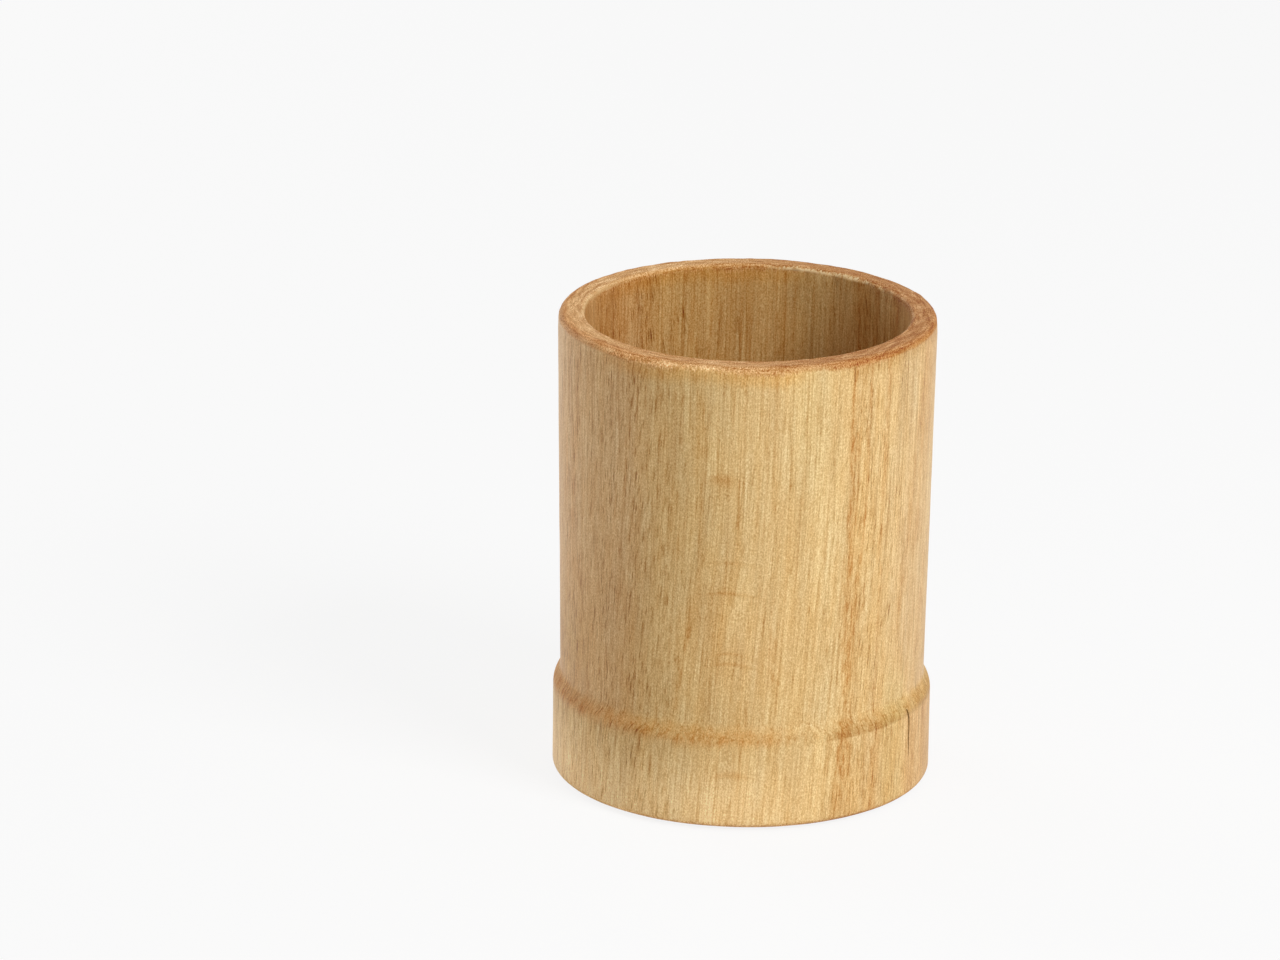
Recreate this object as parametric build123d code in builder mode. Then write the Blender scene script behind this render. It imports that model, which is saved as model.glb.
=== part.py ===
"""Turned beech pen stand: a bored and turned cup, a glued-in base disc and a felt pad.

Millimetres, +Z up. The origin is the centre of the round footprint, on the desk.
"""
import os

from build123d import *

# Outside of the cup
overall_height = 89.6  # desk to the top of the rim
rim_diameter = 70.4  # outside of the cup at its mouth
wall_taper = 1.05  # radius that the wall loses from the rim down to the shoulder
foot_height = 16.4  # desk to where the shoulder starts to draw in
foot_step = 1.3  # how far the foot stands out beyond the wall
shoulder_rise = 4.6  # height of the soft S that joins the foot to the wall
foot_edge_round = 1.4
rim_outer_round = 1.5
rim_inner_round = 1.1

# Bore and the rebate under it
wall_thickness = 5.1  # at the rim
rebate_ledge = 2.0  # width of the ledge that the base disc is glued up against
rebate_mouth_chamfer = 0.5

# Base disc
base_thickness = 5.0
base_edge_chamfer = 0.4
glue_gap = 0.1  # between the base disc and the side of the rebate

# Felt pad
felt_thickness = 2.0
felt_stand_off = 0.5  # how far the felt keeps the wood off the desk
felt_side_gap = 0.8  # between the felt and the side of the rebate

# Radii and heights that follow
rim_radius = rim_diameter / 2
waist_radius = rim_radius - wall_taper
foot_radius = waist_radius + foot_step
bore_radius = rim_radius - wall_thickness
rebate_radius = bore_radius + rebate_ledge
shoulder_middle = ((foot_radius + waist_radius) / 2, foot_height + shoulder_rise / 2)
wall_bottom = (waist_radius, foot_height + shoulder_rise)
ledge_height = felt_thickness + base_thickness

# Cup: one section turned round the axis, bored right through and rebated from below
with BuildPart() as cup_wall:
    with BuildSketch(Plane.XZ) as wall_section:
        with BuildLine():
            underside = Line((rebate_radius, felt_stand_off), (foot_radius, felt_stand_off))
            foot_side = Line(underside @ 1, (foot_radius, foot_height))
            shoulder_round = TangentArc(foot_side @ 1, shoulder_middle, tangent=foot_side % 1)
            shoulder_cove = TangentArc(shoulder_round @ 1, wall_bottom, tangent=shoulder_round % 1)
            outer_wall = Line(shoulder_cove @ 1, (rim_radius, overall_height))
            rim_top = Line(outer_wall @ 1, (bore_radius, overall_height))
            bore = Line(rim_top @ 1, (bore_radius, ledge_height))
            ledge = Line(bore @ 1, (rebate_radius, ledge_height))
            rebate_side = Line(ledge @ 1, underside @ 0)
        make_face()
        top_corners = wall_section.vertices().group_by(Axis.Y)[-1].sort_by(Axis.X)
        fillet(top_corners[0], rim_inner_round)
        fillet(top_corners[-1], rim_outer_round)
        bottom_corners = wall_section.vertices().group_by(Axis.Y)[0].sort_by(Axis.X)
        fillet(bottom_corners[-1], foot_edge_round)
        chamfer(bottom_corners[0], rebate_mouth_chamfer)
    revolve(axis=Axis.Z)

# Base disc: glued up into the rebate, its upper edge broken so that it seats on the ledge
base_radius = rebate_radius - glue_gap
with BuildPart() as base_disc:
    with BuildSketch(Plane.XY.offset(felt_thickness)):
        Circle(base_radius)
    extrude(amount=base_thickness)
    chamfer(base_disc.edges().group_by(Axis.Z)[-1], base_edge_chamfer)

# Felt pad: stuck to the underside of the base disc, the face that the stand rests on
with BuildPart() as felt_pad:
    with BuildSketch(Plane.XY):
        Circle(rebate_radius - felt_side_gap)
    extrude(amount=felt_thickness)

cup_wall.part.label = "cup_wall"
base_disc.part.label = "base_disc"
felt_pad.part.label = "felt_pad"

os.makedirs("parts", exist_ok=True)
export_step(cup_wall.part, "parts/cup_wall.step")
export_step(base_disc.part, "parts/base_disc.step")
export_step(felt_pad.part, "parts/felt_pad.step")
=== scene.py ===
import math

import bmesh
import bpy
from mathutils import Matrix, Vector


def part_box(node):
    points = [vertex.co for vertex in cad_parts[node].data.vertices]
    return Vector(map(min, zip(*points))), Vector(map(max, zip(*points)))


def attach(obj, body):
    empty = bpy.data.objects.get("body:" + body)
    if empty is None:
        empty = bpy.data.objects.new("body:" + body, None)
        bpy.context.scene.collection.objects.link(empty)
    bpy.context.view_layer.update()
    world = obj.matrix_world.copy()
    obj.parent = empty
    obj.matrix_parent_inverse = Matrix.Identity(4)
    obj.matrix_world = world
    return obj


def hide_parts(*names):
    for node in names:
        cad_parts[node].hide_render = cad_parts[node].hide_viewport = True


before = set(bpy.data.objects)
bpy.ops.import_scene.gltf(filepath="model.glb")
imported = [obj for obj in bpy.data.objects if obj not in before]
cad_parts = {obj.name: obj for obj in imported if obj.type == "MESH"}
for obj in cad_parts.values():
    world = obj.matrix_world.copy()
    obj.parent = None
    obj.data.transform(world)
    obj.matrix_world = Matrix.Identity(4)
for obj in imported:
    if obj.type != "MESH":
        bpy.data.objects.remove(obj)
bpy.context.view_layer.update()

# Cup wall
# One block of beech, bored right through and turned outside on a lathe: a slightly tapered wall with
# a rounded lip, over a thicker foot that it meets in a soft S. Sanded, with a thin satin lacquer.
mm = 0.001
cup_low, cup_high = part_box("cup_wall")
rim_height = cup_high.z
rim_radius = 35.2 * mm
waist_radius = 34.15 * mm
foot_radius = cup_high.x
foot_bottom = cup_low.z
foot_height = 16.4 * mm
shoulder_rise = 4.6 * mm
bore_radius = 30.1 * mm
rebate_radius = 32.1 * mm
ledge_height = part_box("base_disc")[1].z
lip_round = 1.5 * mm
mouth_round = 1.1 * mm
foot_round = 1.4 * mm
rebate_chamfer = 0.5 * mm
turning_steps = 360
arc_steps = 8
crease_angle = 35
slack = 0.01 * mm


def pick(kind, wanted):
    """Selects, in edit mode, the verts, edges or faces whose points all pass wanted(point)."""
    mesh = bpy.context.object.data
    shape = bmesh.from_edit_mesh(mesh)
    bpy.ops.mesh.select_mode(type={"verts": "VERT", "edges": "EDGE", "faces": "FACE"}[kind])
    bpy.ops.mesh.select_all(action="DESELECT")
    for item in getattr(shape, kind):
        points = [item] if kind == "verts" else item.verts
        if all(wanted(point.co) for point in points):
            item.select_set(True)
    shape.select_flush_mode()
    bmesh.update_edit_mesh(mesh)


def finish_modifier(piece, name, kind, **settings):
    """Adds a modifier to the piece and applies it."""
    bpy.context.view_layer.objects.active = piece
    made = piece.modifiers.new(name, kind)
    for setting, value in settings.items():
        setattr(made, setting, value)
    bpy.ops.object.modifier_apply(modifier=name)


# The shoulder is two equal arcs, a cove above and a round below, that meet at its steepest point
foot_step = foot_radius - waist_radius
shoulder_arc = (shoulder_rise**2 + foot_step**2) / (4 * foot_step)
steepest = math.asin(shoulder_rise / 2 / shoulder_arc)
turns = [steepest * k / arc_steps for k in range(arc_steps + 1)]
wall_bottom = foot_height + shoulder_rise
cove = [
    (waist_radius + shoulder_arc * (1 - math.cos(turn)), wall_bottom - shoulder_arc * math.sin(turn))
    for turn in turns
]
round_over = [
    (foot_radius - shoulder_arc * (1 - math.cos(turn)), foot_height + shoulder_arc * math.sin(turn))
    for turn in reversed(turns[:-1])
]

# The turner's section, drawn corner by corner from one point
section = [
    (bore_radius, ledge_height),
    (bore_radius, rim_height),
    (rim_radius, rim_height),
    *cove,
    *round_over,
    (foot_radius, foot_bottom),
    (rebate_radius, foot_bottom),
    (rebate_radius, ledge_height),
    (bore_radius, ledge_height),
]
bpy.ops.object.select_all(action="DESELECT")
bpy.ops.mesh.primitive_plane_add(size=mm)
cup = bpy.context.object
cup.name = "turned_cup"
bpy.ops.object.mode_set(mode="EDIT")
bpy.ops.mesh.select_all(action="SELECT")
bpy.ops.mesh.merge(type="CENTER")
bpy.ops.transform.translate(value=(section[0][0], 0, section[0][1]))
for (radius, height), (next_radius, next_height) in zip(section, section[1:]):
    bpy.ops.mesh.extrude_vertices_move(
        TRANSFORM_OT_translate={"value": (next_radius - radius, 0, next_height - height)}
    )
bpy.ops.mesh.select_all(action="SELECT")
bpy.ops.mesh.remove_doubles(threshold=slack)

# Lip, mouth, foot edge and rebate are eased with the tool
for (radius, height), easing, segments in (
    ((rim_radius, rim_height), lip_round, 10),
    ((bore_radius, rim_height), mouth_round, 8),
    ((foot_radius, foot_bottom), foot_round, 7),
    ((rebate_radius, foot_bottom), rebate_chamfer, 1),
):
    pick("verts", lambda co: math.hypot(co.x - radius, co.z - height) < slack)
    bpy.ops.mesh.bevel(offset=easing, segments=segments, profile=0.5, affect="VERTICES")

# The long cuts of bore, lip, wall and foot get points every two millimetres or so
for low, high, inner, outer, cuts in (
    (ledge_height, rim_height - mouth_round, 0, bore_radius, 40),
    (rim_height, rim_height, bore_radius + mouth_round, rim_radius - lip_round, 6),
    (wall_bottom, rim_height - lip_round + 0.1 * mm, waist_radius, rim_radius, 36),
    (foot_bottom + foot_round, foot_height, foot_radius, foot_radius, 9),
):
    pick(
        "edges",
        lambda co: low - slack < co.z < high + slack and inner - slack < co.x < outer + slack,
    )
    bpy.ops.mesh.subdivide(number_cuts=cuts)
bpy.ops.mesh.select_all(action="SELECT")
bpy.ops.mesh.spin(
    steps=turning_steps, angle=2 * math.pi, center=(0, 0, 0), axis=(0, 0, 1), use_auto_merge=True
)
bpy.ops.mesh.select_all(action="SELECT")
bpy.ops.mesh.remove_doubles(threshold=slack)
bpy.ops.mesh.normals_make_consistent(inside=False)


def group(name, share, wanted):
    """Gives the points that pass wanted(point) this weight in a vertex group of the cup."""
    if name not in cup.vertex_groups:
        cup.vertex_groups.new(name=name)
    cup.vertex_groups.active = cup.vertex_groups[name]
    pick("verts", wanted)
    bpy.context.scene.tool_settings.vertex_group_weight = share
    bpy.ops.object.vertex_group_assign()


def at_mouth(co):
    return co.z > rim_height - mouth_round - slack and co.xy.length < bore_radius + mouth_round + slack


def at_lip(co):
    return co.z > rim_height - lip_round and co.xy.length > bore_radius + mouth_round


def at_back_right(co):
    return 25 <= math.degrees(math.atan2(co.y, co.x)) <= 85


# The drill broke fibres off the bore's mouth, most of all at the back right, and the lip is worn uneven
group("mouth", share=0.22, wanted=at_mouth)
group("mouth", share=0.8, wanted=lambda co: at_mouth(co) and at_back_right(co))
group("lip", share=1.0, wanted=at_lip)
group("all", share=1.0, wanted=lambda co: True)
bpy.ops.object.mode_set(mode="OBJECT")
for name, lump, strength, level, points in (
    ("broken mouth", 1.1 * mm, 0.7 * mm, 0.75, "mouth"),
    ("worn lip", 3.2 * mm, 0.24 * mm, 0.8, "lip"),
    ("sanding", 14 * mm, 0.12 * mm, 0.85, "all"),
):
    lumps = bpy.data.textures.new(name, "CLOUDS")
    lumps.noise_scale = lump
    finish_modifier(
        cup,
        name,
        "DISPLACE",
        texture=lumps,
        texture_coords="LOCAL",
        vertex_group=points,
        mid_level=level,
        strength=strength,
    )


# A drying crack in the foot and a short check under the lip, each cut by a thin wedge
def split(angle, radius, top, bottom, width, depth, lean):
    """Cuts a crack into the cup with a thin wedge: widest near its top, where it hooks to the left, and
    narrow at its lower end. The angle runs round the cup from the front to the right."""
    turn = math.radians(angle)
    bpy.ops.object.select_all(action="DESELECT")
    bpy.ops.mesh.primitive_cube_add(size=1, scale=(width, 2 * depth, top - bottom))
    wedge = bpy.context.object
    bpy.ops.object.transform_apply(location=False, rotation=False, scale=True)
    bpy.ops.object.mode_set(mode="EDIT")
    for share in (0.2, 0.4, 0.6, 0.8):
        bpy.ops.mesh.select_all(action="SELECT")
        cut = (share - 0.5) * (top - bottom)
        bpy.ops.mesh.bisect(plane_co=(0, 0, cut), plane_no=(0, 0, 1))
    # From the bottom up: the share of the height, the share of the width there, and how far it strays
    for share, narrow, drift in (
        (0, 0.3, 0.1),
        (0.2, 0.7, 0.1),
        (0.4, 0.9, -0.1),
        (0.6, 0.9, 0.1),
        (0.8, 1, 0),
        (1, 0.6, -0.9),
    ):
        level = (share - 0.5) * (top - bottom)
        pick("verts", lambda co: abs(co.z - level) < slack)
        bpy.ops.transform.resize(value=(narrow, 1, 1))
        bpy.ops.transform.translate(value=(drift * width + lean * level, 0, 0))
    bpy.ops.object.mode_set(mode="OBJECT")
    wedge.rotation_euler = (0, 0, turn)
    wedge.location = (radius * math.sin(turn), -radius * math.cos(turn), (top + bottom) / 2)
    bpy.context.view_layer.update()
    finish_modifier(cup, "crack", "BOOLEAN", object=wedge, operation="DIFFERENCE", solver="EXACT")
    bpy.data.objects.remove(wedge)


split(
    angle=61.9,
    radius=foot_radius,
    top=17.9 * mm,
    bottom=8.7 * mm,
    width=0.58 * mm,
    depth=1.8 * mm,
    lean=0,
)
split(
    angle=34.0,
    radius=rim_radius,
    top=88.4 * mm,
    bottom=85.1 * mm,
    width=0.18 * mm,
    depth=0.3 * mm,
    lean=0.02,
)
bpy.context.view_layer.objects.active = cup
cup.select_set(True)
bpy.ops.object.shade_smooth_by_angle(angle=math.radians(crease_angle))


class Wire:
    """A shader socket. Arithmetic on it adds Math nodes, and node() adds any other node."""

    def __init__(self, tree, socket=None):
        self.tree = tree
        self.socket = socket

    def node(self, kind, settings, inputs, output=0):
        made = self.tree.nodes.new(kind)
        for name, value in settings.items():
            setattr(made, name, value)
        for name, value in inputs.items():
            if isinstance(value, Wire):
                self.tree.links.new(value.socket, made.inputs[name])
            else:
                made.inputs[name].default_value = value
        return Wire(self.tree, made.outputs[output] if made.outputs else None)

    def other(self, output):
        return Wire(self.tree, self.socket.node.outputs[output])

    def math(self, operation, first, second=0.0):
        return self.node("ShaderNodeMath", {"operation": operation}, {0: first, 1: second})

    def __add__(self, value):
        return self.math("ADD", self, value)

    def __radd__(self, value):
        return self.math("ADD", value, self)

    def __sub__(self, value):
        return self.math("SUBTRACT", self, value)

    def __rsub__(self, value):
        return self.math("SUBTRACT", value, self)

    def __mul__(self, value):
        return self.math("MULTIPLY", self, value)

    def __rmul__(self, value):
        return self.math("MULTIPLY", value, self)

    def __rpow__(self, value):
        return self.math("POWER", value, self)


def bare_material(name):
    """A new material, a wire to build its nodes from, and the place on the piece in millimetres."""
    material = bpy.data.materials.new(name)
    material.use_nodes = True
    material.node_tree.nodes.clear()
    start = Wire(material.node_tree)
    metres = start.node("ShaderNodeTexCoord", {}, {}, "Object")
    place = start.node("ShaderNodeVectorMath", {"operation": "SCALE"}, {0: metres, "Scale": 1 / mm})
    return material, start, place


def tone(red, green, blue):
    """A colour as it is seen on a screen, each part from 0 to 255. Colours are mixed in this form."""
    return (red / 255, green / 255, blue / 255, 1.0)


def shift(colour, amount, step):
    """The colour moved along a step in red, green and blue."""
    sockets = {0: amount, 1: step, 2: colour}
    return amount.node("ShaderNodeVectorMath", {"operation": "MULTIPLY_ADD"}, sockets)


def stain(colour, amount, warmth=0.0):
    """The colour darkened by an amount, evenly, or turned towards orange as the warmth grows."""
    return shift(colour, amount, (-1 + 0.5 * warmth, -1 - 0.1 * warmth, -1 - 0.3 * warmth))


def pigment(colour):
    """A mixed screen colour as the linear colour that a shader takes."""
    return colour.node("ShaderNodeGamma", {}, {"Color": colour, "Gamma": 2.2})


def between(value, low, high):
    """A smooth step of the value: 0 up to low, 1 from high on."""
    limits = {"Value": value, "From Min": low, "From Max": high}
    return value.node("ShaderNodeMapRange", {"interpolation_type": "SMOOTHSTEP"}, limits)


def blend_tone(first, second, share):
    """Two colours mixed by a share, which is 0 for the first and 1 for the second."""
    settings = {"data_type": "RGBA", "blend_type": "MIX"}
    return share.node("ShaderNodeMix", settings, {0: share, 6: first, 7: second}, 2)


def cloud(place, size, detail=2.0, roughness=0.5):
    """Noise about 0.5 whose lumps have this size in millimetres along x, y and z."""
    scaled = place.node(
        "ShaderNodeVectorMath", {"operation": "MULTIPLY"}, {0: place, 1: [1 / s for s in size]}
    )
    sockets = {"Vector": scaled, "Scale": 1.0, "Detail": detail, "Roughness": roughness}
    return place.node("ShaderNodeTexNoise", {}, sockets)


def line_noise(along, size):
    """Noise about 0.5 that changes along one value only, over this size."""
    sockets = {"W": along * (1 / size), "Scale": 1.0, "Detail": 2.0}
    return along.node("ShaderNodeTexNoise", {"noise_dimensions": "1D"}, sockets)


def ray_blades(place, size, reach, kept):
    """Medullary rays: flat blades of wood, one to a cell of this size in millimetres. The reach is how
    far a blade fills its cell, and kept is the share of cells that have one."""
    scaled = place.node(
        "ShaderNodeVectorMath", {"operation": "MULTIPLY"}, {0: place, 1: [1 / s for s in size]}
    )
    cell = place.node("ShaderNodeTexVoronoi", {}, {"Vector": scaled, "Scale": 1.0}, "Distance")
    chance = cell.node("ShaderNodeSeparateColor", {}, {"Color": cell.other("Color")})
    return (1 - between(cell, reach * 0.35, reach)) * between(chance, 1 - kept - 0.05, 1 - kept + 0.05)


# Growth rings stand across x and are bowed round a far pith. These sizes are in millimetres
pith_distance = 150.0
middle_radius = 34.7


def ring_place(angle):
    """The ring coordinate, in millimetres, where a year meets the front of the wall at mid height."""
    across = middle_radius * math.sin(math.radians(angle))
    deep = middle_radius * math.cos(math.radians(angle))
    return across + deep * deep / (2 * pith_distance)


def beech(name):
    """Beech turned from a solid block: rings, rays and fibres in three dimensions, lacquered outside."""
    material, start, place = bare_material(name)
    x = start.node("ShaderNodeSeparateXYZ", {}, {0: place}, "X")
    y = x.other("Y")
    z = x.other("Z")
    radius = start.math("SQRT", x * x + y * y)
    normal = start.node("ShaderNodeNewGeometry", {}, {}, "Normal")
    facing = start.node("ShaderNodeSeparateXYZ", {}, {0: normal}, "X")
    sideways = start.math("ABSOLUTE", facing)
    upward = start.math("ABSOLUTE", facing.other("Z"))

    # The fibres lean to the right on the way up, steeply at first and less above two thirds of the height
    rise = z - 63
    bend = start.math("LOGARITHM", 1 + math.e ** (rise * (1 / 4)), math.e) * 4
    lean_x = x - rise * 0.072 + bend * 0.052
    fibre = start.node("ShaderNodeCombineXYZ", {}, {"X": lean_x, "Y": y, "Z": z})

    # The block: paler and browner zones, darker left of the middle and towards both sides. On the left the
    # foot is painted lighter towards the bottom, painted light thrown up from the desk; on the right it is
    # orange, and beside the crack it has a paler stripe
    broad = between(cloud(fibre, (12, 16, 60), 2.0), 0.3, 0.7)
    colour = blend_tone(tone(236, 203, 143), tone(227, 190, 129), broad)
    dark_zone = (x + 14) * (1 / 11)
    colour = stain(colour, math.e ** (dark_zone * dark_zone * -1) * 0.06, 0.3)
    colour = stain(colour, between(start.math("ABSOLUTE", x), 16.0, 32.0) * 0.018, 1.5)
    left = between(x * -1, 16.0, 24.0)
    colour = shift(colour, left * between(z, 15.0, 19.0), (-0.012, -0.032, -0.016))
    colour = stain(colour, left * between(z, 17.0, 20.0) * (1 - between(z, 26.0, 50.0)) * 0.025, 0.2)
    patches = cloud(fibre, (2.6, 2.6, 16), 1.0) - 0.5
    colour = shift(colour, patches, (0.04, 0.0, -0.05))
    shoulder_zone = between(z, 9.0, 12.0) * (1 - between(z, 23.0, 26.0))
    outside = between(radius, 32.4, 33.4)
    foot_zone = (1 - between(z, 16.0, 18.0)) * outside
    # Painted light: low on the left the foot is lightened, as light thrown up from the desk would do
    colour = stain(colour, outside * (1 - between(z, 4.0, 17.0)) * (1 - between(x, -6.0, 22.0)) * -0.1)
    colour = stain(colour, foot_zone * (between(x, 10.0, 22.0) + between(x, 28.0, 33.0)) * 0.02, 0.8)
    pale = outside * (1 - between(z, 22.0, 30.0)) * between(x, 25.0, 27.0) * (1 - between(x, 29.6, 31.0))
    colour = shift(colour, pale, (0.014, 0.034, 0.026))
    brown_zone = (x + 8) * (1 / 6)
    brown = math.e ** (brown_zone * brown_zone * -1) * between(z, 17.0, 20.0)
    colour = stain(colour, brown * outside * 0.022, 0.3)

    # Softer zones, a little paler, darker or redder: their middle and reach across the block and up it,
    # and their step in red, green and blue
    for middle, reach, level, tall, step in (
        (29.4, 2.8, 84, 20, (-0.062, -0.058, -0.04)),
        (27.0, 2.5, 33, 8, (0.022, 0.036, 0.04)),
        (30.0, 3.0, 44, 22, (-0.006, 0.0, 0.018)),
        (12.0, 3.5, 80, 16, (-0.03, -0.026, -0.026)),
        (-3.0, 12.0, 37, 10, (0.0, -0.02, -0.03)),
        (-19.0, 5.0, 66, 24, (0.026, 0.031, 0.042)),
        (-33.0, 4.0, 28, 9, (-0.036, -0.036, -0.06)),
    ):
        across = (x - middle) * (1 / reach)
        above = (z - level) * (1 / tall)
        colour = shift(colour, math.e ** (across * across * -1 - above * above), step)

    # Growth rings: each darkens slowly and ends sharply, and no two are alike
    wander = cloud(fibre, (16, 16, 60), 1.0) - 0.5
    waver = cloud(fibre, (4, 4, 16), 1.0) - 0.5
    plain_ring = x + y * y * (1 / (2 * pith_distance)) + wander * 1.8 + waver * 0.5
    ring = plain_ring - x + lean_x
    count = ring * (1 / 1.5) + line_noise(ring, 5.9) * 2.6
    phase = start.math("FRACT", count)
    year = start.node(
        "ShaderNodeTexWhiteNoise", {"noise_dimensions": "1D"}, {"W": start.math("FLOOR", count)}, "Value"
    )
    late = between(phase, 0.4, 0.85) * (1 - between(phase, 0.9, 1.0)) * (0.35 + 0.65 * year)
    broken = between(cloud(fibre, (1.2, 1.2, 7.0), 1.0), 0.3, 0.7)
    colour = stain(colour, late * (0.01 + 0.026 * broken), 0.8)

    # Fibres and pores lie along the grain in long lines, short dashes and specks
    strand = cloud(fibre, (1.1, 1.1, 40), 1.0)
    hair = cloud(fibre, (0.34, 0.34, 22), 2.0)
    dash = cloud(fibre, (0.42, 0.42, 2.4), 1.0)
    speck = cloud(place, (0.22, 0.22, 0.34), 1.0)
    pores = 1 - between(start.math("ABSOLUTE", strand - 0.5), 0.0, 0.04)
    colour = stain(colour, (0.5 - strand) * 0.075, 0.5)
    colour = stain(colour, pores * 0.08, 0.4)
    colour = stain(colour, (0.5 - hair) * 0.27, 0.5)
    colour = stain(colour, between(dash, 0.5, 0.72) * 0.04, 0.6)
    colour = stain(colour, (0.5 - speck) * 0.42, 0.4)

    # Stronger orange years: where they meet the front at mid height, their lean, width and strength,
    # and the heights between which they show
    grainy = 0.3 + between(dash, 0.3, 0.65) * (0.4 + 0.8 * broken)
    for angle, lean, width, strength, low, high in (
        (33.3, 0.020, 0.5, 0.12, 50, 110),
        (33.4, 0.000, 1.1, 0.115, 12, 50),
        (35.2, 0.012, 1.2, 0.04, 40, 110),
        (33.0, 0.000, 1.4, 0.08, -20, 15),
        (44.0, 0.000, 0.8, 0.05, -20, 15),
        (52.0, 0.05, 0.3, 0.03, -20, 50),
        (38.8, 0.024, 0.3, 0.08, 54, 110),
        (38.0, 0.060, 0.5, 0.06, 26, 60),
        (46.9, 0.024, 0.35, 0.07, 20, 110),
        (59.8, 0.075, 0.4, 0.07, 34, 110),
        (66.0, 0.06, 0.5, 0.05, 50, 110),
        (-13.7, 0.02, 0.3, 0.06, 48, 110),
        (-13.7, 0.18, 0.5, 0.07, 20, 48),
        (9.0, 0.015, 0.3, 0.04, 30, 110),
        (11.6, 0.06, 0.6, 0.12, 29, 35),
        (40.6, 0.03, 0.7, 0.07, 33, 45),
    ):
        off = (plain_ring - (z - 50) * lean - ring_place(angle)) * (1 / width)
        reach = between(z, low - 5, low + 5) * (1 - between(z, high - 5, high + 5))
        colour = stain(colour, math.e ** (off * off * -1) * reach * grainy * strength, 0.7)

    # Rays show as dark spindles at the sides, more so on the left. Seen from the front, they lean to the
    # right on the way up
    side = between(x, -12.0, 12.0) * 2 - 1
    blade = start.node("ShaderNodeCombineXYZ", {}, {"X": x, "Y": y - z * side * 0.07, "Z": z})
    rays = ray_blades(blade, (14, 0.42, 7.0), 0.36, 0.55)
    small_rays = ray_blades(blade, (6, 0.3, 3.8), 0.38, 0.55)
    ray_show = between(sideways, 0.12, 0.7) * (1.2 - side * 0.25)
    side_lines = cloud(fibre, (3.0, 1.0, 28), 1.0)
    colour = stain(colour, (0.5 - side_lines) * between(sideways, 0.5, 0.9) * 0.16, 0.4)
    colour = stain(colour, rays * ray_show * 0.12, 0.3)
    colour = stain(colour, small_rays * ray_show * 0.14, 0.3)

    # Where the front of the wall runs along a ray, the ray lies open as a thin arc across the grain: its
    # middle, height, reach to each side, thickness and strength
    front = 1 - between(y, -30.0, -28.0)
    for middle, level, reach, thick, strength in (
        (-4.2, 68.0, 2.6, 1.1, 0.09),
        (-2.6, 52.0, 4.4, 0.5, 0.05),
        (-2.7, 46.1, 4.6, 0.4, 0.08),
        (-2.2, 34.4, 3.0, 0.3, 0.07),
        (-2.2, 32.4, 3.4, 0.32, 0.09),
        (-1.7, 11.1, 3.6, 0.7, 0.08),
    ):
        along = (x - middle) * (1 / reach)
        bow = (z - level + along * along * 0.6) * (1 / thick)
        arc = math.e ** (bow * bow * -1 - along * along) * front
        colour = stain(colour, arc * strength, 0.7)

    # The shoulder cuts across the fibres and drinks more finish, and it is painted darker besides, painted
    # shade against the light its upturned slope catches: softly on the left, and on the right a faint
    # painted shade that ends in a sharp dark line of painted shade
    right = between(x, 0.0, 14.0)
    shoulder_edge = between(z, 15.2 + right * 1.2, 17.8 - right * 0.9)
    finish_and_shade = (0.3 + 1.3 * between(hair, 0.35, 0.65)) * (0.7 + 0.6 * broken)
    shoulder = shoulder_edge * (1 - between(z, 17.6, 21.2)) * finish_and_shade * outside
    colour = stain(colour, shoulder * (1 - right) * 0.09, 0.8)
    line = shoulder_edge * (1 - between(z, 17.0, 21.0)) * (0.7 + 0.5 * broken) * outside
    # Painted shade: a faint band over the slope on the right
    colour = stain(colour, shoulder * right * 0.04, 0.2)
    # Painted shade: a thin dark line along the foot of the slope on the right, neutral at the far right
    far_right = between(x, 26.0, 29.0)
    colour = stain(colour, line * (between(x, 15.0, 19.0) - far_right) * 0.1, 0.4)
    colour = stain(colour, line * far_right * 0.06)

    # The ends of the fibres at lip and foot edge drink more finish too, streaked by the turning tool;
    # their colour is set darker and browner towards the right
    around = start.math("ARCTAN2", x, y * -1) * 32
    turned = start.node("ShaderNodeCombineXYZ", {}, {"X": radius, "Y": around, "Z": z})
    marks = cloud(turned, (0.6, 4.0, 0.6), 2.0)
    end_tone = blend_tone(tone(224, 171, 111), tone(188, 128, 70), between(x, -20.0, 24.0))
    end_tone = stain(end_tone, (marks - 0.5) * 0.62, 0.3)
    end_tone = stain(end_tone, (0.5 - speck) * 0.95, 0.4)
    soaked = z + (hair - 0.5) * 2.6 + (broad - 0.5) * 1.0
    bleed = between(soaked, 87.8, 89.2) * 0.8
    ends = start.math("MAXIMUM", between(upward, 0.2, 0.95) * (1 - shoulder_zone), bleed)
    yellowed = between(soaked, 85.0, 87.8) * between(x, -30.0, -20.0) * (1 - between(x, 6.0, 14.0))
    colour = shift(colour, yellowed, (0.0, -0.04, -0.075))
    colour = stain(colour, between(soaked, 85.6, 87.8) * between(x, 14.0, 24.0) * 0.06, 0.4)
    colour = blend_tone(colour, end_tone, ends)
    # The lip is set darker and oranger away from the front left; its outer rounding at the right is darker
    # still: painted shade
    lip = between(radius, 32.6, 34.2) * between(z, 88.0, 88.6)
    colour = stain(colour, lip * (1 - between(x, -24.0, -6.0)) * 0.075, 0.8)
    colour = stain(colour, lip * between(radius, 34.2, 34.8) * between(x, 4.0, 24.0) * 0.08, 0.6)
    front_left = between(x, -30.0, -24.0) * (1 - between(x, -14.0, -6.0)) * (1 - between(y, -20.0, -10.0))
    colour = stain(colour, between(upward, 0.8, 0.95) * between(z, 88.5, 89.0) * front_left * 0.055, 0.3)

    # A painted highlight: pale glints along the worn outer edge of the lip at the front left
    edge = between(radius, 33.6, 34.4) * between(z, 88.0, 88.7) * (1 - between(z, 89.0, 89.5))
    lip_glint = edge * between(x, -30.0, -24.0) * (1 - between(x, -12.0, 8.0))
    colour = stain(colour, lip_glint * (0.2 + 1.3 * between(dash, 0.48, 0.58)) * -0.1, 0.1)
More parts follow.
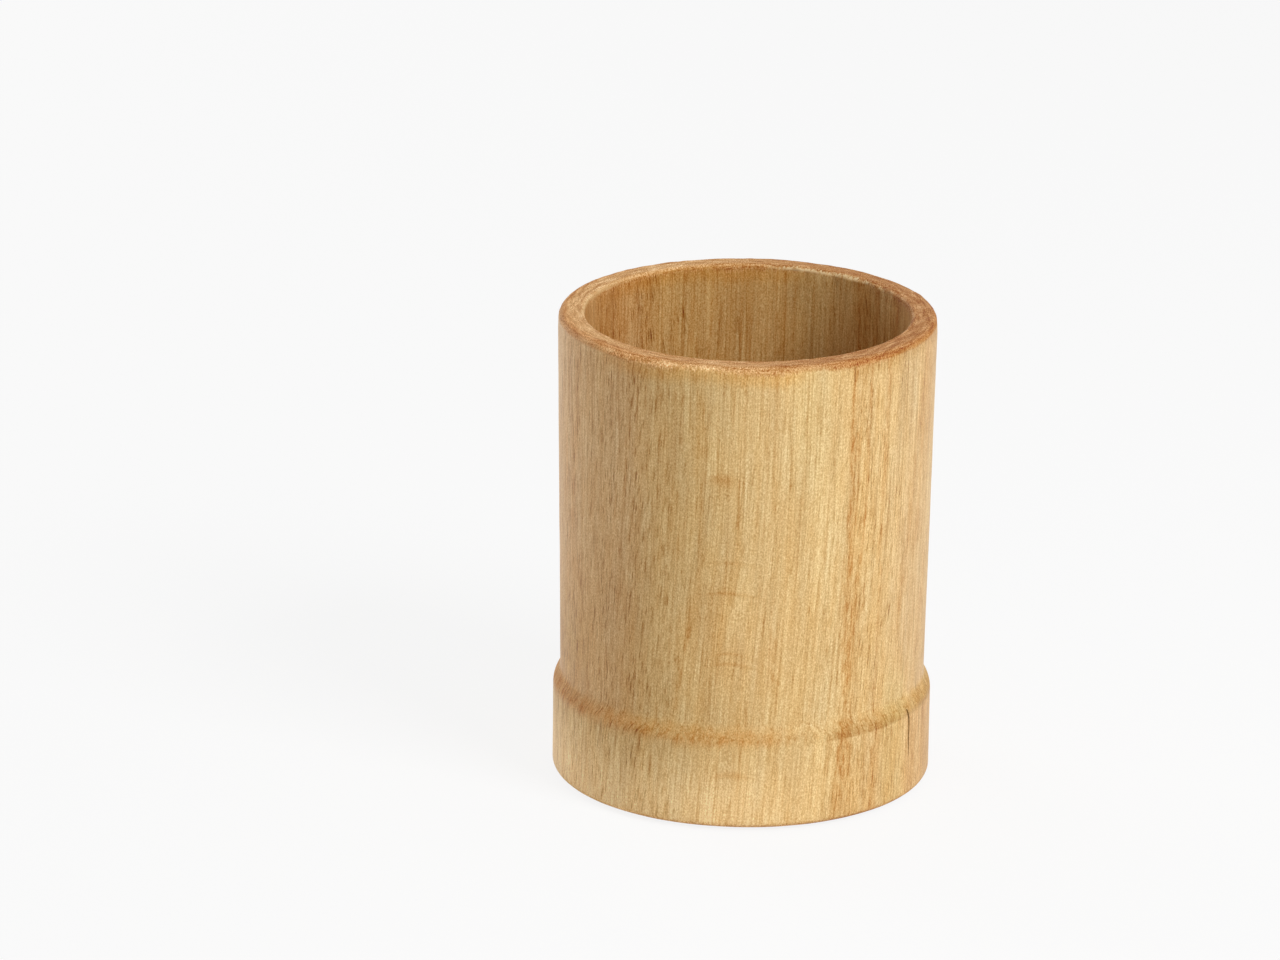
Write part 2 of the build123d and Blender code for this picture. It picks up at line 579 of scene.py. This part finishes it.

    # Pale along the mouth of the bore: a painted highlight of its edge at the left, and torn fibres at the
    # back right that carry painted highlight too
    torn_and_glint = (1 - between(radius + (dash - 0.5) * 1.8, 30.4, 30.8)) * between(z, 88.4, 88.9)
    left_glint = (1 - between(x, -28.0, -18.0)) * 0.6
    back_chips_and_glint = between(y + (broken - 0.5) * 6.0, 18.0, 22.0) * between(x, 2.0, 8.0)
    colour = blend_tone(colour, tone(243, 212, 160), torn_and_glint * start.math("MAXIMUM", left_glint, back_chips_and_glint))

    # The bore and the rebate under it are left bare, as the tool cut them: duller, and painted darker and
    # oranger, partly the bare wood's tone and partly painted shade in the well
    bore = 1 - between(radius, 30.2, 30.5)
    rebate = (1 - between(radius, 32.2, 32.4)) * (1 - between(z, 6.8, 7.2))
    bare_and_shade = start.math("MAXIMUM", bore, rebate)
    colour = stain(colour, bare_and_shade * 0.1, 0.4)

    # The inside of the crack in the foot is painted dark brown: painted shade deep in the crack
    crack = (1 - between(radius, 35.0, 35.25)) * between(radius, 32.6, 32.8) * between(z, 3.0, 4.0)
    crack = crack * (1 - between(z, 16.6, 17.0))
    colour = blend_tone(colour, tone(96, 50, 20), crack)

    height = hair * 0.6 + speck * 0.4 - rays * 0.5
    bump = start.node("ShaderNodeBump", {}, {"Strength": 1.0, "Distance": 0.016 * mm, "Height": height})
    dull = start.math("MAXIMUM", bare_and_shade * 0.18, crack * 0.5)
    roughness = 0.44 + dull + between(upward, 0.08, 0.4) * 0.28 + (hair - 0.5) * 0.2
    surface = {"Base Color": pigment(colour), "Normal": bump, "Roughness": roughness, "IOR": 1.45}
    shader = start.node("ShaderNodeBsdfPrincipled", {}, surface)
    start.node("ShaderNodeOutputMaterial", {}, {"Surface": shader})
    return material


cup.data.materials.append(beech("turned_beech"))
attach(cup, "root")
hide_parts("cup_wall")

# Base disc
# A disc of beech plywood glued up against the ledge in the rebate, which closes the bore from below.
# Its rotary-cut face veneer shows at the bottom of the pen well, with broad figure and short flecks.
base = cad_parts["base_disc"]


def plywood(name):
    """Rotary-cut beech veneer lying flat: wide wandering figure along y, and small dark ray ends."""
    material, start, place = bare_material(name)
    figure = cloud(place, (13, 60, 20), 1.0)
    contour = start.math("FRACT", figure * 9)
    line = between(contour, 0.35, 0.9) * (1 - between(contour, 0.92, 1.0))
    fibre = cloud(place, (0.3, 6.0, 0.3), 3.0, 0.6)
    dashes = ray_blades(place, (0.5, 2.2, 6.0), 0.42, 0.35)
    colour = blend_tone(tone(216, 178, 124), tone(196, 150, 96), line * 0.55)
    colour = blend_tone(colour, tone(158, 112, 68), dashes * 0.5)
    colour = stain(colour, (0.5 - fibre) * 0.2)
    height = fibre * 0.7 - dashes * 0.6
    bump = start.node("ShaderNodeBump", {}, {"Strength": 1.0, "Distance": 0.04 * mm, "Height": height})
    roughness = 0.6 + (fibre - 0.5) * 0.2
    surface = {"Base Color": pigment(colour), "Normal": bump, "Roughness": roughness, "IOR": 1.5}
    shader = start.node("ShaderNodeBsdfPrincipled", {}, surface)
    start.node("ShaderNodeOutputMaterial", {}, {"Surface": shader})
    return material


base.data.materials.clear()
base.data.materials.append(plywood("base_plywood"))

# Felt pad
# A disc stamped from dark brown needled felt two millimetres thick, glued under the base disc inside
# the rebate. It stands half a millimetre proud of the wood, so the cup does not scratch the desk.
felt_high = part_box("felt_pad")[1]
felt_radius = felt_high.x
felt_thickness = felt_high.z
felt_voxel = 0.42 * mm
felt_lump = 0.9 * mm
matting_depth = 0.22 * mm
bpy.ops.object.select_all(action="DESELECT")
bpy.ops.mesh.primitive_cylinder_add(
    vertices=180, radius=felt_radius, depth=felt_thickness, location=(0, 0, felt_thickness / 2)
)
felt = bpy.context.object
felt.name = "felt_disc"
bpy.ops.object.transform_apply(location=True, rotation=False, scale=False)
finish_modifier(felt, "even mesh", "REMESH", mode="VOXEL", voxel_size=felt_voxel, use_smooth_shade=True)
matting = bpy.data.textures.new("matting", "CLOUDS")
matting.noise_scale = felt_lump
finish_modifier(
    felt,
    "matted fibres",
    "DISPLACE",
    texture=matting,
    texture_coords="LOCAL",
    mid_level=1.0,
    strength=matting_depth,
)


def needled_felt(name):
    """Matted wool: short fibres lying every way, a little lighter where they stand up."""
    material, start, place = bare_material(name)
    strands = cloud(place, (0.2, 2.2, 0.5), 2.0, 0.6)
    for turn in (35, 80, 130):
        turned = start.node(
            "ShaderNodeMapping", {}, {"Vector": place, "Rotation": (0.2, 0.3, math.radians(turn))}
        )
        strands = start.math("MAXIMUM", strands, cloud(turned, (0.2, 2.2, 0.5), 2.0, 0.6))
    lumps = between(cloud(place, (1.8, 1.8, 1.2), 2.0), 0.35, 0.65)
    colour = blend_tone(tone(84, 68, 56), tone(150, 126, 108), between(strands, 0.55, 0.85))
    colour = blend_tone(colour, tone(92, 74, 61), lumps * 0.6)
    bump = start.node("ShaderNodeBump", {}, {"Strength": 1.0, "Distance": 0.1 * mm, "Height": strands})
    surface = {"Base Color": pigment(colour), "Normal": bump, "Roughness": 0.95, "Sheen Weight": 0.35}
    shader = start.node("ShaderNodeBsdfPrincipled", {}, surface)
    start.node("ShaderNodeOutputMaterial", {}, {"Surface": shader})
    return material


felt.data.materials.append(needled_felt("brown_felt"))
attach(felt, "root")
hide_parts("felt_pad")

# Desk
# A plain white studio table. It shows white to the eye and in reflections, and keeps a soft shadow.
desk_width = 12.0
desk_glow = 0.86
bpy.ops.object.select_all(action="DESELECT")
bpy.ops.mesh.primitive_plane_add(size=desk_width)
desk = bpy.context.object
desk.name = "desk"


def looked_at(start):
    """1 for what the camera sees, straight on, mirrored or through glass, and 0 for the light it gives."""
    eye = start.node("ShaderNodeLightPath", {}, {}, "Is Camera Ray")
    return eye + eye.other("Is Glossy Ray") + eye.other("Is Transmission Ray")


desk_paint = bpy.data.materials.new("white_desk")
desk_paint.use_nodes = True
desk_paint.node_tree.nodes.clear()
desk_start = Wire(desk_paint.node_tree)
desk_matt = desk_start.node("ShaderNodeBsdfDiffuse", {}, {"Color": (0.9, 0.9, 0.9, 1)})
desk_white = desk_start.node("ShaderNodeEmission", {}, {"Color": (1, 1, 1, 1), "Strength": 1.0})
desk_mix = desk_start.node(
    "ShaderNodeMixShader", {}, {0: looked_at(desk_start) * desk_glow, 1: desk_matt, 2: desk_white}
)
desk_start.node("ShaderNodeOutputMaterial", {}, {"Surface": desk_mix})
desk.data.materials.append(desk_paint)

# Light
# A white tent all round, a large soft lamp at the front right and a weak one behind the left edge.
tent_light = 0.34
cup_middle = 45 * mm
world = bpy.data.worlds.new("tent")
bpy.context.scene.world = world
world.use_nodes = True
world.node_tree.nodes.clear()
tent = Wire(world.node_tree)
tent_white = tent.node(
    "ShaderNodeBackground",
    {},
    {"Color": (1, 1, 1, 1), "Strength": tent_light + looked_at(tent) * (1 - tent_light)},
)
tent.node("ShaderNodeOutputWorld", {}, {"Surface": tent_white})


def soft_lamp(name, azimuth, elevation, distance, size, watts):
    """A square lamp that faces the cup's middle, at an angle round it and above the desk."""
    lamp_data = bpy.data.lights.new(name, "AREA")
    lamp_data.size = size
    lamp_data.energy = watts
    lamp = bpy.data.objects.new(name, lamp_data)
    bpy.context.scene.collection.objects.link(lamp)
    round_cup = Matrix.Rotation(math.radians(azimuth), 4, "Z")
    above_desk = Matrix.Rotation(math.radians(90 - elevation), 4, "X")
    middle = Matrix.Translation((0, 0, cup_middle))
    lamp.matrix_world = middle @ round_cup @ above_desk @ Matrix.Translation((0, 0, distance))


soft_lamp("key", azimuth=46, elevation=38, distance=1.2, size=0.5, watts=8.9)
soft_lamp("edge", azimuth=-132, elevation=12, distance=1.2, size=0.55, watts=4.3)

# Camera
# The photograph's view: a long lens at a little under twenty degrees above the desk, slightly rolled.
camera_place = (0, -1.324944, 0.497161)
camera_heading = 0.8463
camera_fall = 18.4058
camera_roll = 0.7356
camera_data = bpy.data.cameras.new("camera")
camera_data.lens = 210.78
camera_data.sensor_width = 36.0
camera_data.clip_end = 50.0
camera = bpy.data.objects.new("camera", camera_data)
bpy.context.scene.collection.objects.link(camera)
camera_turn = (
    Matrix.Rotation(math.radians(camera_heading), 3, "Z")
    @ Matrix.Rotation(math.radians(90 - camera_fall), 3, "X")
    @ Matrix.Rotation(math.radians(camera_roll), 3, "Z")
)
camera.matrix_world = Matrix.Translation(camera_place) @ camera_turn.to_4x4()
bpy.context.scene.camera = camera
bpy.context.scene.view_settings.view_transform = "Standard"
